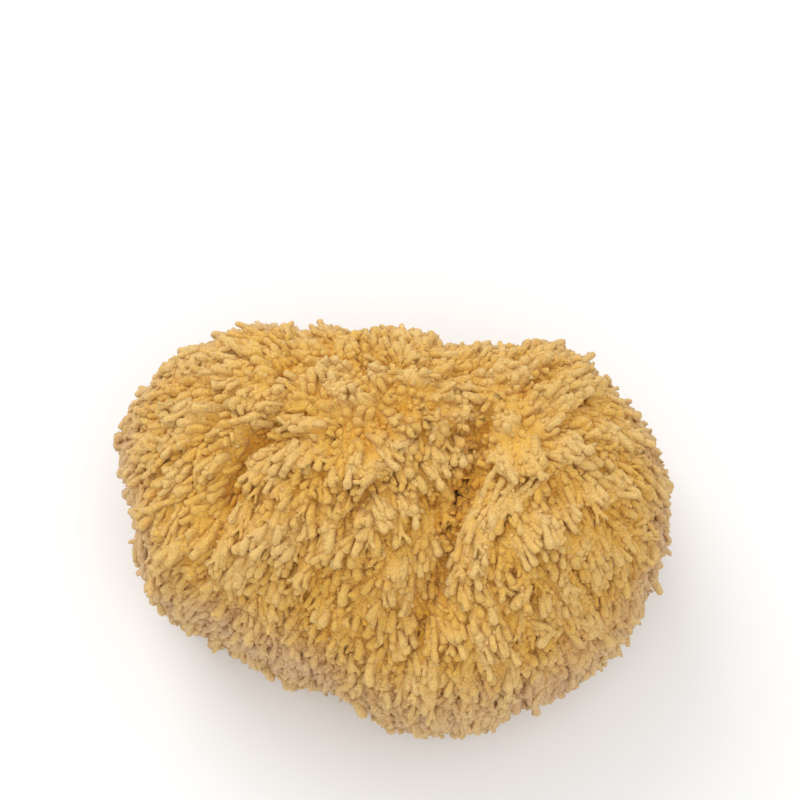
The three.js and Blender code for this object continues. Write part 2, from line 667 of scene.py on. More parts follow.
@dataclass
class Spines:
    """The lines that tufts grow along, each bent once, with what else each tuft needs."""

    root: np.ndarray
    knee: np.ndarray
    tip: np.ndarray
    width: np.ndarray  # the tuft's radius
    roll: np.ndarray  # across the tuft
    swell: np.ndarray
    tone: np.ndarray
    rise: np.ndarray  # how high the ground stands there, from 0 to 1
    base: np.ndarray  # the core's place below
    out: np.ndarray  # straight out of the body there
    kind: np.ndarray

    def some(self, which: np.ndarray) -> "Spines":
        """Only the chosen spines."""
        return Spines(*(getattr(self, name)[which] for name in self.__dataclass_fields__))

    def joined(self, other: "Spines") -> "Spines":
        """These spines and the other ones."""
        names = self.__dataclass_fields__
        return Spines(*(np.concatenate([getattr(self, name), getattr(other, name)]) for name in names))

    def __len__(self) -> int:
        """How many there are."""
        return len(self.width)


def pick_kinds(
    shares: tuple[tuple[TuftKind, float], ...], count: int, rng: np.random.Generator,
) -> np.ndarray:
    """Picks each tuft's habit.

    Args:
        shares: how common each habit is.
        count: how many tufts there are.
        rng: the source of random numbers.

    Returns:
        One habit for each tuft.
    """
    kinds, chances = zip(*shares)
    return rng.choice(kinds, count, p=chances)


def side_of(normals: np.ndarray) -> np.ndarray:
    """How steep the ground is, from 0 on top to 1 on the sides and below."""
    return 1 - ease(normals[:, 2], 0.1, 0.9)


def grow(pattern: TuftPattern, spines: Spines) -> dict[str, np.ndarray]:
    """Lays one copy of a pattern along each spine.

    Args:
        pattern: the modelled tuft.
        spines: the lines to grow it along.

    Returns:
        The copies' places, corners, face starts, map places, and what the finish reads at each vertex.
    """
    share = pattern.places[:, 2].clip(0, 1)
    t = share[None, :, None]
    root, knee, tip = (x[:, None, :] for x in (spines.root, spines.knee, spines.tip))
    middle = (1 - t) ** 2 * root + 2 * t * (1 - t) * knee + t**2 * tip
    along = unit((1 - t) * (knee - root) + t * (tip - knee))
    side = unit(np.cross(along, spines.roll[:, None, :]))
    other = np.cross(along, side)
    phase, waves, amount = (spines.swell[:, i, None, None] for i in range(3))
    width = spines.width[:, None, None] * (1 + amount * np.sin(math.tau * (waves * t + phase)))
    x, y = pattern.places[None, :, :1], pattern.places[None, :, 1:2]
    places = middle + width * (x * side + y * other)
    number = np.arange(len(spines))[:, None]
    return {
        "places": places.reshape(-1, 3),
        "corners": (pattern.corners[None, :] + len(pattern.places) * number).ravel(),
        "starts": (pattern.starts[None, :] + len(pattern.corners) * number).ravel(),
        "map": np.broadcast_to(pattern.map_places, (len(spines), *pattern.map_places.shape)),
        "rise": (spines.rise[:, None] + TIP_RISE * (share[None, :] - 0.5)).ravel(),
        "tone": np.repeat(spines.tone, len(pattern.places)),
        "side": np.repeat(side_of(spines.out), len(pattern.places)),
    }


# ---- The sponge ----


def core_copy(name: str, inset: float) -> bpy.types.Object:
    """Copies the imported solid, merges its loose triangles, and draws it in all round but not below.

    Args:
        name: the new piece's name.
        inset: how far it is drawn in.

    Returns:
        The new piece.
    """
    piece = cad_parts[SOLID].copy()
    piece.data = piece.data.copy()
    piece.name = piece.data.name = name
    piece.parent = None
    bpy.context.scene.collection.objects.link(piece)
    piece.data.materials.clear()
    low, high = CAD_BOX
    with editing(piece):
        bpy.ops.mesh.select_all(action="SELECT")
        bpy.ops.mesh.remove_doubles(threshold=0.01 * MM)
        size = ((high.x - low.x) / 2, (high.y - low.y) / 2, high.z)
        factors = tuple(1 - inset / s for s in size)
        bpy.ops.transform.resize(value=factors, center_override=(0, 0, 0))
    return piece


@dataclass
class Surface:
    """The triangles of a mesh, sampled for places to grow things."""

    triangles: np.ndarray
    corner_normals: np.ndarray

    @classmethod
    def of(cls, mesh: bpy.types.Mesh, hem: float, lowest_facing: float = -0.85) -> "Surface":
        """Takes a mesh's triangles, but for its lowest ones and those that face down.

        Args:
            mesh: the mesh.
            hem: the height that the triangles stand over.
            lowest_facing: how far down a triangle may face, -1 being straight down.

        Returns:
            The surface.
        """
        mesh.calc_loop_triangles()
        corners = np.empty(len(mesh.loop_triangles) * 3, np.int32)
        mesh.loop_triangles.foreach_get("vertices", corners)
        corners = corners.reshape(-1, 3)
        places, normals = places_of(mesh)[corners], normals_of(mesh)[corners]
        grown = (places[:, :, 2].mean(1) > hem) & (normals[:, :, 2].mean(1) > lowest_facing)
        return cls(places[grown], normals[grown])

    def scatter(self, spacing: float, tries: int, rng: np.random.Generator) -> tuple[np.ndarray, ...]:
        """Scatters places evenly over the surface, none nearer to another than a spacing.

        Args:
            spacing: the least distance between two places.
            tries: how many places are tried.
            rng: the source of random numbers.

        Returns:
            The places and the surface's normals there.
        """
        a, b, c = self.triangles.transpose(1, 0, 2)
        area = np.linalg.norm(np.cross(b - a, c - a), axis=1)
        chosen = rng.choice(len(area), tries, p=area / area.sum())
        share = rng.dirichlet((1, 1, 1), tries)[:, :, None]
        places = (self.triangles[chosen] * share).sum(1)
        normals = unit((self.corner_normals[chosen] * share).sum(1))
        taken: dict[tuple[int, int, int], list[np.ndarray]] = {}
        kept = []
        for i, place in enumerate(places):
            cell = tuple(int(v) for v in np.floor(place / spacing))
            near = (
                other
                for dx in (-1, 0, 1) for dy in (-1, 0, 1) for dz in (-1, 0, 1)
                for other in taken.get((cell[0] + dx, cell[1] + dy, cell[2] + dz), ())
            )
            if all(math.dist(place, other) >= spacing for other in near):
                taken.setdefault(cell, []).append(place)
                kept.append(i)
        return places[kept], normals[kept]


@dataclass
class Form:
    """The smooth core that the lobes and tufts grow out of."""

    inset: float = 4.7 * MM
    voxel: float = 2.5 * MM
    smoothing: int = 8
    hem: float = 1.5 * MM  # nothing grows lower than this
    surface: Surface = field(init=False)
    tree: BVHTree = field(init=False)

    def survey(self) -> "Form":
        """Smooths a copy of the core and keeps its surface.

        Returns:
            This form.
        """
        piece = core_copy("form", self.inset)
        remesh(piece, self.voxel, self.smoothing)
        apply_modifier(piece, "TRIANGULATE")
        faces = [face.vertices[:] for face in piece.data.polygons]
        self.tree = BVHTree.FromPolygons(places_of(piece.data).tolist(), faces)
        self.surface = Surface.of(piece.data, self.hem)
        bpy.data.objects.remove(piece)
        return self

    def over(self, plan: np.ndarray) -> tuple[np.ndarray, np.ndarray]:
        """Finds the core's highest places at some points of the plan, and the core's normals there."""
        hits = [self.tree.ray_cast(Vector((x, y, 1)), Vector((0, 0, -1))) for x, y in plan]
        return np.array([hit[0] for hit in hits]), np.array([hit[1] for hit in hits])


@dataclass(frozen=True)
class Parting:
    """A line on the upper side where the ground is sunk, as at an osculum or a cleft."""

    start: Pair
    end: Pair
    reach: float  # how far to its sides the ground is sunk
    drop: float  # how deep


PARTINGS = (
    Parting(mm(25, 12), mm(20, 0), *mm(5.0, 2.9)),
    Parting(mm(9, -3), mm(12, -9), *mm(3.8, 2.3)),
    Parting(mm(29, -10), mm(28, -12), *mm(2.8, 2.2)),
    Parting(mm(-36, 15), mm(-43, 0), *mm(3.8, 4.4)),
    Parting(mm(-30, 32), mm(-29, 31), *mm(2.8, 3.0)),
    Parting(mm(20, 2), mm(6, -36), *mm(3.6, 2.2)),
)


@dataclass(frozen=True)
class Habit:
    """How lobes or lumps are sown and shaped. Each pair is the least and the greatest."""

    spacing: float
    tries: int  # how many places are tried
    length: Pair  # from its middle to its end
    width: Pair  # from its middle to its side
    height: Pair
    turn: float  # how much each one is turned from the comb
    looked_at: int  # how many of the nearest may stand highest at a place
    lip: float  # where along it its top is, from -1 to 1


@dataclass
class Seeds:
    """Where lobes or lumps grow from the core, and how each one is shaped."""

    place: np.ndarray
    aim: np.ndarray  # along the core, the way that it is combed
    across: np.ndarray
    length: np.ndarray
    width: np.ndarray
    height: np.ndarray
    tone: np.ndarray


@dataclass
class Ground:
    """The lobes that rise from the core like overlapping shingles, and the lumps on them."""

    form: Form
    seed: int = 11
    crown: Pair = mm(6, 16)  # all is combed away from here
    spread: float = 1.1  # how strongly
    spread_reach: Pair = mm(6, 66)  # how far from there that starts and is in full
    droop: float = 0.95  # how strongly it is combed towards the front
    droop_from: Pair = mm(-48, 15)  # how far forward that starts and is in full
    sag: float = 0.5  # how strongly it hangs down
    stray: float = 0.45  # how strongly it wanders
    stray_size: float = 7 * MM
    calm: float = 0.75  # a pull weaker than this combs the ground less
    lean: float = math.radians(44)  # how far the lobes lean over, where they are combed in full
    lobe: Habit = Habit(4.2 * MM, 14000, mm(3.6, 6.4), mm(2.1, 3.3), mm(1.3, 4.6), 0.32, 12, 0.35)
    lump: Habit = Habit(2.1 * MM, 90000, mm(1.2, 2.6), mm(0.8, 1.2), mm(0.7, 1.4), 0.3, 6, 0.1)
    heel: float = 0.4  # how high each one is at its heel, in its full height
    heel_edge: Pair = (-1.15, -0.85)  # where along it the heel starts and is in full
    valley: float = 1.5 * MM  # where the lobes are lower than this, the lumps are too
    valley_loss: float = 0.45  # how much of them is missing there
    ripple: float = 0.9 * MM  # the ground's slow waves
    ripple_size: float = 3.1 * MM
    foot: Pair = mm(0.3, 3)  # how high over the floor the ground starts to rise and is in full
    upper_facing: float = 0.3  # ground that faces up more than this may be sunk
    bank: Pair = (0.2, 1.3)  # where in a parting's reach its bank starts and ends
    deepest: float = 5.5 * MM  # the depth that partings never pass
    bare: float = 0.75  # how much of the lobes is missing where the ground is sunk
    bare_depth: float = 3.5 * MM  # as deep as this
    highest: float = 4.8 * MM  # what counts as the full height
    lobes: Seeds = field(init=False)
    lumps: Seeds = field(init=False)

    def __post_init__(self) -> None:
        """Sows the lobes and the lumps."""
        rng = np.random.default_rng(self.seed)
        self.lobes, self.lumps = self._sow(self.lobe, rng), self._sow(self.lump, rng)
        LOG.info("%d lobes, %d lumps", len(self.lobes.tone), len(self.lumps.tone))

    def _sow(self, habit: Habit, rng: np.random.Generator) -> Seeds:
        """Sows seeds evenly over the core.

        Args:
            habit: how they are sown and shaped.
            rng: the source of random numbers.

        Returns:
            The seeds.
        """
        places, normals = self.form.surface.scatter(habit.spacing, habit.tries, rng)
        count = len(places)
        aim = unit(self.comb(places, normals) + rng.normal(0, habit.turn, (count, 3)))
        aim = unit(aim - normals * (aim * normals).sum(1, keepdims=True))
        sizes = (rng.uniform(*limits, count) for limits in (habit.length, habit.width, habit.height))
        return Seeds(places, aim, np.cross(normals, aim), *sizes, rng.uniform(0, 1, count))

    def comb(self, places: np.ndarray, normals: np.ndarray) -> np.ndarray:
        """Works out which way the lobes are combed along the core.

        Args:
            places: places on the core.
            normals: straight out of the core there.

        Returns:
            One direction for each place, up to 1 long.
        """
        away = places - np.array((*self.crown, 0))
        away[:, 2] = 0
        reach = np.linalg.norm(away, axis=1, keepdims=True)
        front = ease(-places[:, 1:2], *self.droop_from)
        pull = self.spread * unit(away) * ease(reach, *self.spread_reach)
        pull += front * np.array((0, -self.droop, 0)) + np.array((0, 0, -self.sag))
        pull += self.stray * self.wander(places, self.stray_size)
        along = pull - normals * (pull * normals).sum(1, keepdims=True)
        strength = np.linalg.norm(along, axis=1, keepdims=True)
        return unit(along) * ease(strength, 0, self.calm)

    @staticmethod
    def wander(places: np.ndarray, size: float) -> np.ndarray:
        """A slow wandering in space, alike in neighbouring lobes.

        Args:
            places: where it is wanted.
            size: about a sixth of its wavelength.

        Returns:
            Three numbers between about -1 and 1 for each place.
        """
        x, y, z = (places / size).T
        waves = (
            np.sin(x + 1.7 * np.sin(0.8 * y)) + np.sin(1.3 * z + 0.7 * x),
            np.sin(1.1 * y + 1.3 * np.sin(0.9 * z)) + np.sin(0.8 * x - 1.2 * y),
            np.sin(0.9 * z + 1.1 * np.sin(1.2 * x)) + np.sin(1.2 * y + 0.6 * z),
        )
        return 0.5 * np.stack(waves, 1)

    def sunk(self, places: np.ndarray, normals: np.ndarray) -> np.ndarray:
        """Works out how far the ground beside the partings is sunk.

        Args:
            places: places on the core.
            normals: straight out of the core there.

        Returns:
            One depth for each place.
        """
        depth = np.zeros(len(places))
        upper = normals[:, 2] > self.upper_facing
        for parting in PARTINGS:
            start, end = np.array(parting.start), np.array(parting.end)
            line = end - start
            share = ((places[:, :2] - start) @ line / (line @ line)).clip(0, 1)
            off = places[:, :2] - (start + share[:, None] * line)
            near, far = (edge * parting.reach for edge in self.bank)
            depth += upper * parting.drop * (1 - ease(np.linalg.norm(off, axis=1), near, far))
        return self.deepest * (1 - np.exp(-depth / self.deepest))

    def _highest(self, places: np.ndarray, seeds: Seeds, habit: Habit) -> tuple[np.ndarray, ...]:
        """Finds which of the lobes or lumps stands highest at each place.

        Args:
            places: places on the core.
            seeds: where they grow.
            habit: how they are shaped.

        Returns:
            The heights, the numbers of those that stand highest, and how far along them the places are.
        """
        lip = habit.lip
        near = nearest(places, seeds.place, habit.looked_at)
        gap = places[:, None, :] - seeds.place[near]
        u = (gap * seeds.aim[near]).sum(2) / seeds.length[near]
        v = (gap * seeds.across[near]).sum(2) / seeds.width[near]
        before = self.heel + (1 - self.heel) * ease(u, -1.0, lip)
        after = np.sqrt(1 - ((u - lip) / (1 - lip)).clip(0, 1) ** 2)
        height = seeds.height[near] * np.sqrt((1 - v**2).clip(0, 1)) * before * after
        height *= ease(u, *self.heel_edge)
        best = height.argmax(1)
        rows = np.arange(len(places))
        return height[rows, best], near[rows, best], u[rows, best]

    def rise(self, places: np.ndarray, normals: np.ndarray) -> tuple[np.ndarray, ...]:
        """Works out how high the ground stands over the core.

        Args:
            places: places on the core.
            normals: straight out of the core there.

        Returns:
            The places where the ground's top is, their heights, the lobes there, and how far along them the
            places are.
        """
        lobe, number, u = self._highest(places, self.lobes, self.lobe)
        lump = self._highest(places, self.lumps, self.lump)[0]
        lump *= 1 - self.valley_loss + self.valley_loss * ease(lobe, 0, self.valley)
        wave = self.ripple * self.wander(places, self.ripple_size)[:, 1]
        sunk = self.sunk(places, normals)
        height = ease(places[:, 2], *self.foot) * (lobe + lump + wave)
        height *= 1 - self.bare * ease(sunk, 0, self.bare_depth)
        out = unit(normals * math.cos(self.lean) + self.comb(places, normals) * math.sin(self.lean))
        top = places + out * (height / (out * normals).sum(1))[:, None] - normals * sunk[:, None]
        return top, height - sunk, number, u


@dataclass
class StrandBundle:
    """Long strands that lie side by side over the right of the crown, combed down towards the cleft."""

    ground: Ground
    seed: int = 21
    count: int = 8
    first: tuple[Pair, ...] = (mm(33, 8), mm(21, -10), mm(10, -38))  # the first strand's bent line
    last: tuple[Pair, ...] = (mm(44, 3), mm(30, -3), mm(23, -22))  # and the last one's
    spread: float = 1.0 * MM  # how far a strand's line strays from its share of the two
    starts: Pair = (0, 0.3)  # how far along that line a strand may start
    stops: Pair = (0.65, 1)  # and stop
    wobble: float = 0.8 * MM
    wobble_size: float = 2.6 * MM
    link: float = 2.6 * MM  # from one swelling of a strand to the next
    lift: float = 2.7 * MM  # over the core
    lift_spread: float = 0.25 * MM
    width: Pair = mm(0.9, 1.2)  # the links' radii
    tone: Pair = (0.5, 0.9)
    height: float = 0.8  # how high their ground counts for the colour, in the full height
    overlap: Pair = mm(0.9, 0.7)  # how far a link reaches back and on
    kinds: tuple[tuple[TuftKind, float], ...] = ((TuftKind.FINGER, 0.8), (TuftKind.BUDDED, 0.2))
    clear: float = 1.1 * MM  # no tuft stands nearer than this

    def lines(self) -> list[tuple[np.ndarray, np.ndarray]]:
        """Lays the strands over the core.

        Returns:
            For each strand, the places along it and the core's normals there.
        """
        rng = np.random.default_rng(self.seed)
        laid = []
        for share in np.linspace(0, 1, self.count):
            ends = (1 - share) * np.array(self.first) + share * np.array(self.last)
            ends += rng.normal(0, self.spread, ends.shape)
            low, high = rng.uniform(*self.starts), rng.uniform(*self.stops)
            links = max(3, round((high - low) * math.dist(ends[0], ends[2]) / self.link))
            t = np.linspace(low, high, links + 1)[:, None]
            plan = (1 - t) ** 2 * ends[0] + 2 * t * (1 - t) * ends[1] + t**2 * ends[2]
            plan += self.wobble * self.ground.wander(np.c_[plan, t * 0], self.wobble_size)[:, :2]
            places, normals = self.ground.form.over(plan)
            lift = self.lift + rng.normal(0, self.lift_spread, (links + 1, 1))
            laid.append((places + normals * lift, normals))
        return laid

    def near(self, places: np.ndarray) -> np.ndarray:
        """Tells which places lie close to a strand, seen from above."""
        dots = np.concatenate([line for line, _ in self.lines()])[:, :2]
        return np.linalg.norm(places[:, None, :2] - dots[None], axis=2).min(1) < self.clear


@dataclass
class Coat:
    """The short blunt tufts that the lobes end in, the grains on them and the long strands."""

    ground: Ground
    bundle: StrandBundle
    seed: int = 12
    spacing: float = 2.0 * MM
    tries: int = 80000
    width: Pair = mm(0.85, 1.5)  # the tufts' radii
    lean: float = math.radians(72)
    lean_spread: float = 0.15
    aim_spread: float = 0.16
    least_lean: float = 0.6  # how much of it there is where nothing is combed
    root: float = 2.7 * MM  # how deep they are rooted in the lobes
    reach: Pair = mm(1.1, 4.4)  # how far they stand out of the lobes
    fringe: float = 1.2 * MM  # how much further they stand out at a lobe's lip
    fringe_edge: Pair = (0.1, 0.7)  # where along the lobe that starts and is in full
    least_fringe: float = 0.3
    calm_reach: float = 0.65  # how much of their reach is left where nothing is combed
    valley: float = 2.4 * MM  # on ground lower than this they are shorter
    valley_reach: float = 0.5
    kinds: tuple[tuple[TuftKind, float], ...] = (
        (TuftKind.FINGER, 0.66), (TuftKind.BUDDED, 0.2), (TuftKind.FORKED, 0.14),
    )
    grain_spacing: float = 2.15 * MM
    grain_tries: int = 60000
    grain_width: Pair = mm(0.65, 1.05)
    grain_reach: Pair = mm(0.1, 0.7)
    grain_root: float = 0.8 * MM
    grain_comb: float = 0.7  # how strongly they are combed
    grain_spread: float = 0.3
    floor_gap: float = 1.3 * MM  # the least height of a tuft's middle line over the floor
    bow: float = 0.3 * MM  # how far a tuft's middle stands out
    bow_spread: float = 0.2 * MM
    lump_size: float = 1.8 * MM
    lump_height: float = 0.7 * MM
    own_tone: float = 0.4  # how much of a tuft's tone is its own and not its lobe's
    least_rise: float = 0.15  # how high the lowest ground counts for the colour
    waves: Pair = (0.8, 2.2)  # how often a tuft swells along its length
    swell: Pair = (0.05, 0.2)  # and how much, in its width

    def tufts(self) -> Spines:
        """Places the tufts.

        Returns:
            Their spines.
        """
        rng = np.random.default_rng(self.seed)
        places, normals = self.ground.form.surface.scatter(self.spacing, self.tries, rng)
        top, height, lobe, u = self.ground.rise(places, normals)
        total = len(places)
        tone = self.ground.lobes.tone[lobe]
        strength = np.linalg.norm(self.ground.comb(places, normals), axis=1, keepdims=True)
        lean = self.lean * strength.clip(self.least_lean, 1) + rng.normal(0, self.lean_spread, (total, 1))
        own = normals * np.cos(lean) + self.ground.lobes.aim[lobe] * np.sin(lean)
        own = unit(own + rng.normal(0, self.aim_spread, (total, 3)))
        full = self.valley_reach + (1 - self.valley_reach) * ease(height, 0, self.valley)
        reach = rng.uniform(*self.reach, total) * full
        reach *= self.calm_reach + (1 - self.calm_reach) * strength[:, 0]
        reach += self.fringe * ease(u, *self.fringe_edge) * rng.uniform(self.least_fringe, 1, total)
        tip = top + own * reach[:, None]
        kinds = pick_kinds(self.kinds, total, rng)
        width = rng.uniform(*self.width, total)
        grown = self._spines(top - own * self.root, tip, width, tone, height, kinds, places, normals, rng)
        kept = ~self.bundle.near(tip)
        LOG.info("%d tufts", kept.sum())
        return grown.some(kept)

    def grains(self, body: Surface) -> Spines:
        """Places the small grains on the grown body, between the tufts.

        Args:
            body: the body's surface.

        Returns:
            Their spines.
        """
        rng = np.random.default_rng(self.seed + 1)
        places, normals = body.scatter(self.grain_spacing, self.grain_tries, rng)
        total = len(places)
        LOG.info("%d grains", total)
        own = normals + self.grain_comb * self.ground.comb(places, normals)
        own = unit(own + rng.normal(0, self.grain_spread, (total, 3)))
        tip = places + own * rng.uniform(*self.grain_reach, (total, 1))
        width = rng.uniform(*self.grain_width, total)
        kinds = np.full(total, TuftKind.KNOB)
        number = nearest(places, self.ground.lobes.place, 1)[:, 0]
        tone = self.ground.lobes.tone[number]
        height = np.array([self.ground.form.tree.find_nearest(place)[3] for place in places])
        root = places - own * self.grain_root
        return self._spines(root, tip, width, tone, height, kinds, places, normals, rng)

    def strands(self) -> Spines:
        """Lays the long strands as chains of short links.

        Returns:
            Their spines.
        """
        rng = np.random.default_rng(self.seed + 2)
        starts, ends, facing = [], [], []
        back, on = self.bundle.overlap
        for line, normals in self.bundle.lines():
            way = unit(np.diff(line, axis=0))
            starts.append(line[:-1] - way * back)
            ends.append(line[1:] + way * on)
            facing.append(normals[1:])
        root, tip, normals = (np.concatenate(parts) for parts in (starts, ends, facing))
        total = len(root)
        LOG.info("%d strand links", total)
        width = rng.uniform(*self.bundle.width, total)
        tone = rng.uniform(*self.bundle.tone, total)
        height = np.full(total, self.bundle.height * self.ground.highest)
        kinds = pick_kinds(self.bundle.kinds, total, rng)
        return self._spines(root, tip, width, tone, height, kinds, root, normals, rng)

    def _spines(
        self, root: np.ndarray, tip: np.ndarray, width: np.ndarray, tone: np.ndarray, height: np.ndarray,
        kind: np.ndarray, base: np.ndarray, out: np.ndarray, rng: np.random.Generator,
    ) -> Spines:
        """Makes bent spines of straight lines, and keeps them over the floor.

        Args:
            root: where each one starts.
            tip: where it ends.
            width: its radius.
            tone: the tone of the lobe it stands on.
            height: how high the ground stands there.
            kind: its habit.
            base: the core's place under it.
            out: straight out of the core there.
            rng: the source of random numbers.

        Returns:
            The spines.
        """
        total = len(width)
        knee = (root + tip) / 2 + out * self.bow + rng.normal(0, self.bow_spread, root.shape)
        for ends in (root, knee, tip):
            ends[:, 2] = np.maximum(ends[:, 2], self.floor_gap)
        return Spines(
            root=root,
            knee=knee,
            tip=tip,
            width=width,
            roll=unit(np.cross(tip - root, rng.normal(size=(total, 3)))),
            swell=self._swells(total, rng),
            tone=(1 - self.own_tone) * tone + self.own_tone * rng.uniform(0, 1, total),
            rise=self.least_rise + (1 - self.least_rise) * height / self.ground.highest,
            base=base,
            out=out,
            kind=kind,
        )

    def _swells(self, count: int, rng: np.random.Generator) -> np.ndarray:
        """How each tuft swells along its length: the phase, the number of waves and their strength."""
        return np.stack([rng.uniform(*limits, count) for limits in ((0, 1), self.waves, self.swell)], 1)


def join(name: str, grown: list[dict[str, np.ndarray]]) -> bpy.types.Object:
    """Joins grown copies in one piece.

    Args:
        name: the piece's name.
        grown: the copies of each pattern.

    Returns:
        The piece.
    """
    vertices = np.cumsum([0] + [len(part["places"]) for part in grown])
    loops = np.cumsum([0] + [len(part["corners"]) for part in grown])
    corners = np.concatenate([part["corners"] + n for part, n in zip(grown, vertices)])
    starts = np.concatenate([part["starts"] + n for part, n in zip(grown, loops)])
    mesh = bpy.data.meshes.new(name)
    mesh.vertices.add(vertices[-1])
    mesh.loops.add(loops[-1])
    mesh.polygons.add(len(starts))
    places = np.concatenate([part["places"] for part in grown])
    mesh.vertices.foreach_set("co", places.astype(np.float32).ravel())
    mesh.loops.foreach_set("vertex_index", corners.astype(np.int32))
    mesh.polygons.foreach_set("loop_start", starts.astype(np.int32))
    mesh.update(calc_edges=True)
    mesh.validate()
    piece = bpy.data.objects.new(name, mesh)
    bpy.context.scene.collection.objects.link(piece)
    return piece


def put_map(mesh: bpy.types.Mesh, places: np.ndarray) -> None:
    """Stores the place of each face corner on the piece's map."""
    layer = mesh.uv_layers.new(name="OFBake", do_init=False)
    layer.uv.foreach_set("vector", places.astype(np.float32).ravel())


@dataclass
class TuftPiece:
    """One region's tufts, joined in one mesh."""

    name: str
    spines: Spines
    coat: Coat
    margin: float = 0.03  # what is left free at each side of a tuft's cell of the map

    def build(self, patterns: dict[TuftKind, TuftPattern], finish: bpy.types.Material) -> bpy.types.Object:
        """Grows the region's tufts and dresses them.

        Args:
            patterns: the modelled tufts.
            finish: the tufts' material.

        Returns:
            The finished piece.
        """
        kinds = self.spines.kind
        grown = [
            grow(pattern, self.spines.some(kinds == kind))
            for kind, pattern in patterns.items()
            if (kinds == kind).any()
        ]
        piece = join(self.name, grown)
        self._mark(piece.data, grown)
        self._roughen(piece)
        dress(piece, finish)
        return piece

    def _mark(self, mesh: bpy.types.Mesh, grown: list[dict[str, np.ndarray]]) -> None:
        """Stores what the finish reads, and gives each tuft a cell of the map.

        Args:
            mesh: the joined tufts.
            grown: the copies of each pattern.
        """
        for name in ("rise", "tone", "side"):
            put_attribute(mesh, name, np.concatenate([part[name] for part in grown]))
        across = math.ceil(math.sqrt(len(self.spines)))
        cells, number = [], 0
        for part in grown:
            cell = number + np.arange(len(part["map"]))
            corner = np.stack([cell % across, cell // across], 1)[:, None, :]
            laid = corner + self.margin + (1 - 2 * self.margin) * part["map"]
            cells.append((laid / across).reshape(-1, 2))
            number += len(cell)
        put_map(mesh, np.concatenate(cells))

    def _roughen(self, piece: bpy.types.Object) -> None:
        """Gives the tufts their lumps, and flattens what would reach below the cut.

        Args:
            piece: the joined tufts.
        """
        lumps = bpy.data.textures.new(f"{self.name}_lumps", "CLOUDS")
        lumps.noise_scale = self.coat.lump_size
        lumps.noise_depth = 1
        apply_modifier(piece, "DISPLACE", texture=lumps, strength=self.coat.lump_height, mid_level=0.5)
        places = places_of(piece.data)
        places[:, 2] = np.maximum(places[:, 2], FLOOR_GAP)
        put_places(piece.data, places)


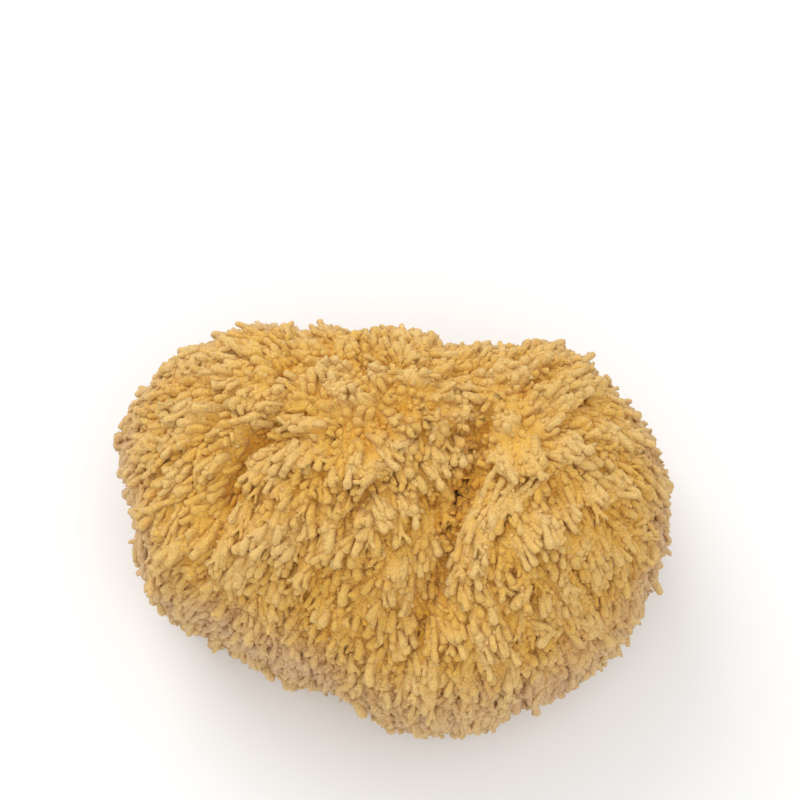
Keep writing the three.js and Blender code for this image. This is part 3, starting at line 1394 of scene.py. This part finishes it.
@dataclass
class SpongeBody:
    """The porous body, grown out in lobes on every side but its flat cut."""

    ground: Ground
    voxel: float = 1.2 * MM
    smoothing: int = 6
    fine_voxel: float = 0.55 * MM
    fine_smoothing: int = 2
    cut_height: float = 1.2 * MM  # what is lower than this
    cut_facing: float = -0.6  # and faces down more than this is on the cut
    kept: int = 190_000  # how many of its triangles are kept
    map_centre: float = 26 * MM  # the height that its grown side is laid out from
    pore_seed: int = 5
    pore_count: int = 130
    pore_radius: Pair = mm(1.3, 3.4)
    pore_wall: Pair = (0.45, 1.1)  # where a pore's wall ends and starts, in its radii
    pore_depth: float = 2.6  # in its radii
    pore_dark: float = 2 * MM  # deeper than this it isn't part of the cut's open face

    def build(self, finish: bpy.types.Material) -> bpy.types.Object:
        """Makes the body from a copy of the solid, and dresses it.

        Args:
            finish: the body's material.

        Returns:
            The finished body.
        """
        piece = core_copy("sponge_body", self.ground.form.inset)
        remesh(piece, self.voxel, self.smoothing)
        self._refine(piece)
        self._grow(piece)
        self._pierce(piece)
        apply_modifier(piece, "DECIMATE", ratio=self.kept / triangles_in(piece.data))
        self._map(piece.data)
        dress(piece, finish)
        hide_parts(SOLID)
        return piece

    def _on_cut(self, places: np.ndarray, normals: np.ndarray) -> np.ndarray:
        """Tells which vertices are on the cut face."""
        return (places[:, 2] < self.cut_height) & (normals[:, 2] < self.cut_facing)

    def _refine(self, piece: bpy.types.Object) -> None:
        """Subdivides all but the cut face.

        Args:
            piece: the body.
        """
        with editing(piece):
            select_faces(piece, lambda c, n: c.z > self.cut_height or n.z > self.cut_facing)
            bpy.ops.mesh.subdivide(number_cuts=1, smoothness=0)

    def _grow(self, piece: bpy.types.Object) -> None:
        """Raises the lobes, and remeshes them so that nothing is folded.

        Args:
            piece: the body.
        """
        core, normals = places_of(piece.data), normals_of(piece.data)
        cut = self._on_cut(core, normals)
        top, height, lobe, _ = self.ground.rise(core, normals)
        places = np.where(cut[:, None], core, top)
        places[:, 2] = np.maximum(places[:, 2], FLOOR_GAP)
        known = {
            "rise": height / self.ground.highest,
            "tone": self.ground.lobes.tone[lobe],
            "under": cut,
            "side": side_of(normals),
            **{name: core[:, axis] for axis, name in enumerate(CORE)},
        }
        put_places(piece.data, places)
        remesh(piece, self.fine_voxel, self.fine_smoothing)
        number = nearest(places_of(piece.data), places, 1)[:, 0]
        for name, values in known.items():
            put_attribute(piece.data, name, values[number])

    def _pierce(self, piece: bpy.types.Object) -> None:
        """Flattens the cut face and sinks its canals.

        Args:
            piece: the body.
        """
        places, normals = places_of(piece.data), normals_of(piece.data)
        cut = self._on_cut(places, normals)
        places[cut, 2] = FLOOR_GAP
        places[:, 2] = np.maximum(places[:, 2], FLOOR_GAP)
        rng = np.random.default_rng(self.pore_seed)
        spots = places[cut][rng.choice(cut.sum(), self.pore_count, replace=False), :2]
        low, high = self.pore_radius
        radii = low + (high - low) * rng.uniform(0, 1, self.pore_count) ** 2
        depth = np.zeros(len(places))
        for spot, radius in zip(spots, radii):
            distance = np.linalg.norm(places[:, :2] - spot, axis=1)
            open_share = 1 - ease(distance, *(share * radius for share in self.pore_wall))
            depth = np.maximum(depth, cut * self.pore_depth * radius * open_share)
        places[:, 2] += depth
        put_places(piece.data, places)
        put_attribute(piece.data, "open_face", cut * (1 - ease(depth, 0, self.pore_dark)))

    def _map(self, mesh: bpy.types.Mesh) -> None:
        """Lays the body out flat: its grown side as one oval, and its cut face below it.

        Args:
            mesh: the body's mesh, which still knows its places on the core.
        """
        oval_middle, oval_size = (0.5, 0.66), (0.62, 0.42)
        flat_corner, flat_size = (0.3, 0.02), (0.4, 0.24)
        core = np.stack([take_attribute(mesh, name) for name in CORE], 1)
        under = take_attribute(mesh, "under") > 0.5
        away = unit(core - np.array((0, 0, self.map_centre)))
        turn = np.arctan2(away[:, 1], away[:, 0])
        fall = np.arccos(away[:, 2].clip(-1, 1)) / math.pi
        oval = oval_middle + fall[:, None] * np.stack((np.cos(turn), np.sin(turn)), 1) * oval_size
        low, high = (np.array(corner[:2]) for corner in CAD_BOX)
        flat = flat_corner + (core[:, :2] - low) / (high - low) * flat_size
        corners = np.array([loop.vertex_index for loop in mesh.loops])
        face = np.repeat(np.arange(len(mesh.polygons)), [len(face.vertices) for face in mesh.polygons])
        below = np.ones(len(mesh.polygons), bool)
        np.logical_and.at(below, face, under[corners])
        put_map(mesh, np.where(below[face, None], flat[corners], oval[corners]))


@dataclass
class BathSponge:
    """The whole sponge: its body, the tufts of its six regions and its long strands."""

    crown_facing: float = 0.62  # ground that faces up more than this is on the crown
    hem_height: float = 24 * MM  # the sides below this are the hem
    grain_hem: float = 2 * MM  # no grain is lower than this
    grain_facing: float = -0.3  # or where the body faces down more than this

    def build(self) -> list[bpy.types.Object]:
        """Builds and dresses every piece.

        Returns:
            The pieces.
        """
        ground = Ground(Form().survey())
        patterns = self._patterns()
        finish = FibreFinish().make()
        pieces = [SpongeBody(ground).build(finish)]
        coat = Coat(ground, StrandBundle(ground))
        grown = Surface.of(pieces[0].data, self.grain_hem, self.grain_facing)
        spines = coat.tufts().joined(coat.grains(grown))
        for name, chosen in self._regions(spines).items():
            pieces.append(TuftPiece(name, spines.some(chosen), coat).build(patterns, finish))
        pieces.append(TuftPiece("long_strands", coat.strands(), coat).build(patterns, finish))
        return pieces

    @staticmethod
    def _patterns() -> dict[TuftKind, TuftPattern]:
        """Models each tuft pattern once.

        Returns:
            The patterns by kind.
        """
        shapes = {
            TuftKind.FORKED: {"sides": 6, "rings": ((0.4, 0.9), (0.66, 1.1))},
            TuftKind.KNOB: {"rings": ((0.55, 1.0), (0.88, 0.8))},
        }
        return {kind: TuftPattern(kind, **shapes.get(kind, {})).model() for kind in TuftKind}

    def _regions(self, spines: Spines) -> dict[str, np.ndarray]:
        """Sorts the tufts by where they stand.

        Args:
            spines: all the tufts' spines.

        Returns:
            For each region's name, which tufts are in it.
        """
        crown = spines.out[:, 2] > self.crown_facing
        hem = ~crown & (spines.base[:, 2] < self.hem_height)
        wall = ~crown & ~hem
        front = spines.base[:, 1] < 0
        return {
            "crown_tufts_back": crown & ~front,
            "crown_tufts_front": crown & front,
            "wall_tufts_back": wall & ~front,
            "wall_tufts_front": wall & front,
            "hem_tufts_back": hem & ~front,
            "hem_tufts_front": hem & front,
        }


# ---- The studio ----


@dataclass(frozen=True)
class Lamp:
    """A soft square lamp aimed at the sponge."""

    name: str
    place: tuple[float, float, float]
    size: float
    power: float  # in watts

    def set_up(self) -> None:
        """Puts the lamp in its place."""
        data = bpy.data.lights.new(self.name, "AREA")
        data.energy, data.size = self.power, self.size
        lamp = bpy.data.objects.new(self.name, data)
        lamp.location = self.place
        lamp.rotation_euler = (-Vector(self.place)).to_track_quat("-Z", "Y").to_euler()
        bpy.context.scene.collection.objects.link(lamp)


@dataclass(frozen=True)
class Studio:
    """A pale floor, soft light from behind and above, and a camera that looks down on the sponge."""

    elevation: float = math.radians(72)
    distance: float = 0.555
    lens: float = 85.0
    aside: float = 1.8 * MM  # how far right of the sponge's middle the camera aims
    above: float = 34.9 * MM  # how far above it in the picture
    floor_size: float = 12.0
    sky: float = 0.86
    lamps: tuple[Lamp, ...] = (
        Lamp("key", (-0.5, 0.85, 0.9), 0.8, 6.6), Lamp("fill", (0.15, -0.3, 1.05), 0.9, 2.4),
    )

    def set_up(self) -> None:
        """Makes the floor, the lights, the sky and the camera."""
        self._floor()
        self._sky()
        for lamp in self.lamps:
            lamp.set_up()
        self._camera()
        bpy.context.scene.view_settings.view_transform = "Standard"

    def _floor(self) -> None:
        """Makes the floor."""
        bpy.ops.object.select_all(action="DESELECT")
        bpy.ops.mesh.primitive_plane_add(size=self.floor_size)
        floor = bpy.context.object
        floor.name = "floor"
        floor.data.materials.append(FloorFinish().make())

    def _sky(self) -> None:
        """Makes an even pale sky."""
        world = bpy.data.worlds.new("pale_sky")
        bpy.context.scene.world = world
        world.use_nodes = True
        background = world.node_tree.nodes["Background"]
        background.inputs["Color"].default_value = (1, 1, 1, 1)
        background.inputs["Strength"].default_value = self.sky

    def _camera(self) -> None:
        """Makes the camera."""
        data = bpy.data.cameras.new("camera")
        data.lens = self.lens
        camera = bpy.data.objects.new("camera", data)
        back = Vector((0, -math.cos(self.elevation), math.sin(self.elevation)))
        up = Vector((0, math.sin(self.elevation), math.cos(self.elevation)))
        middle = (CAD_BOX[0] + CAD_BOX[1]) / 2
        camera.location = middle + Vector((self.aside, 0, 0)) + up * self.above + back * self.distance
        camera.rotation_euler = (math.pi / 2 - self.elevation, 0, 0)
        bpy.context.scene.collection.objects.link(camera)
        bpy.context.scene.camera = camera


def main() -> None:
    """Builds the sponge and its studio, and logs each piece that it built."""
    logging.basicConfig(level=logging.INFO, format="%(name)s: %(message)s")
    for piece in BathSponge().build():
        LOG.info("built %s", piece.name)
    Studio().set_up()


if __name__ == "__main__":
    main()
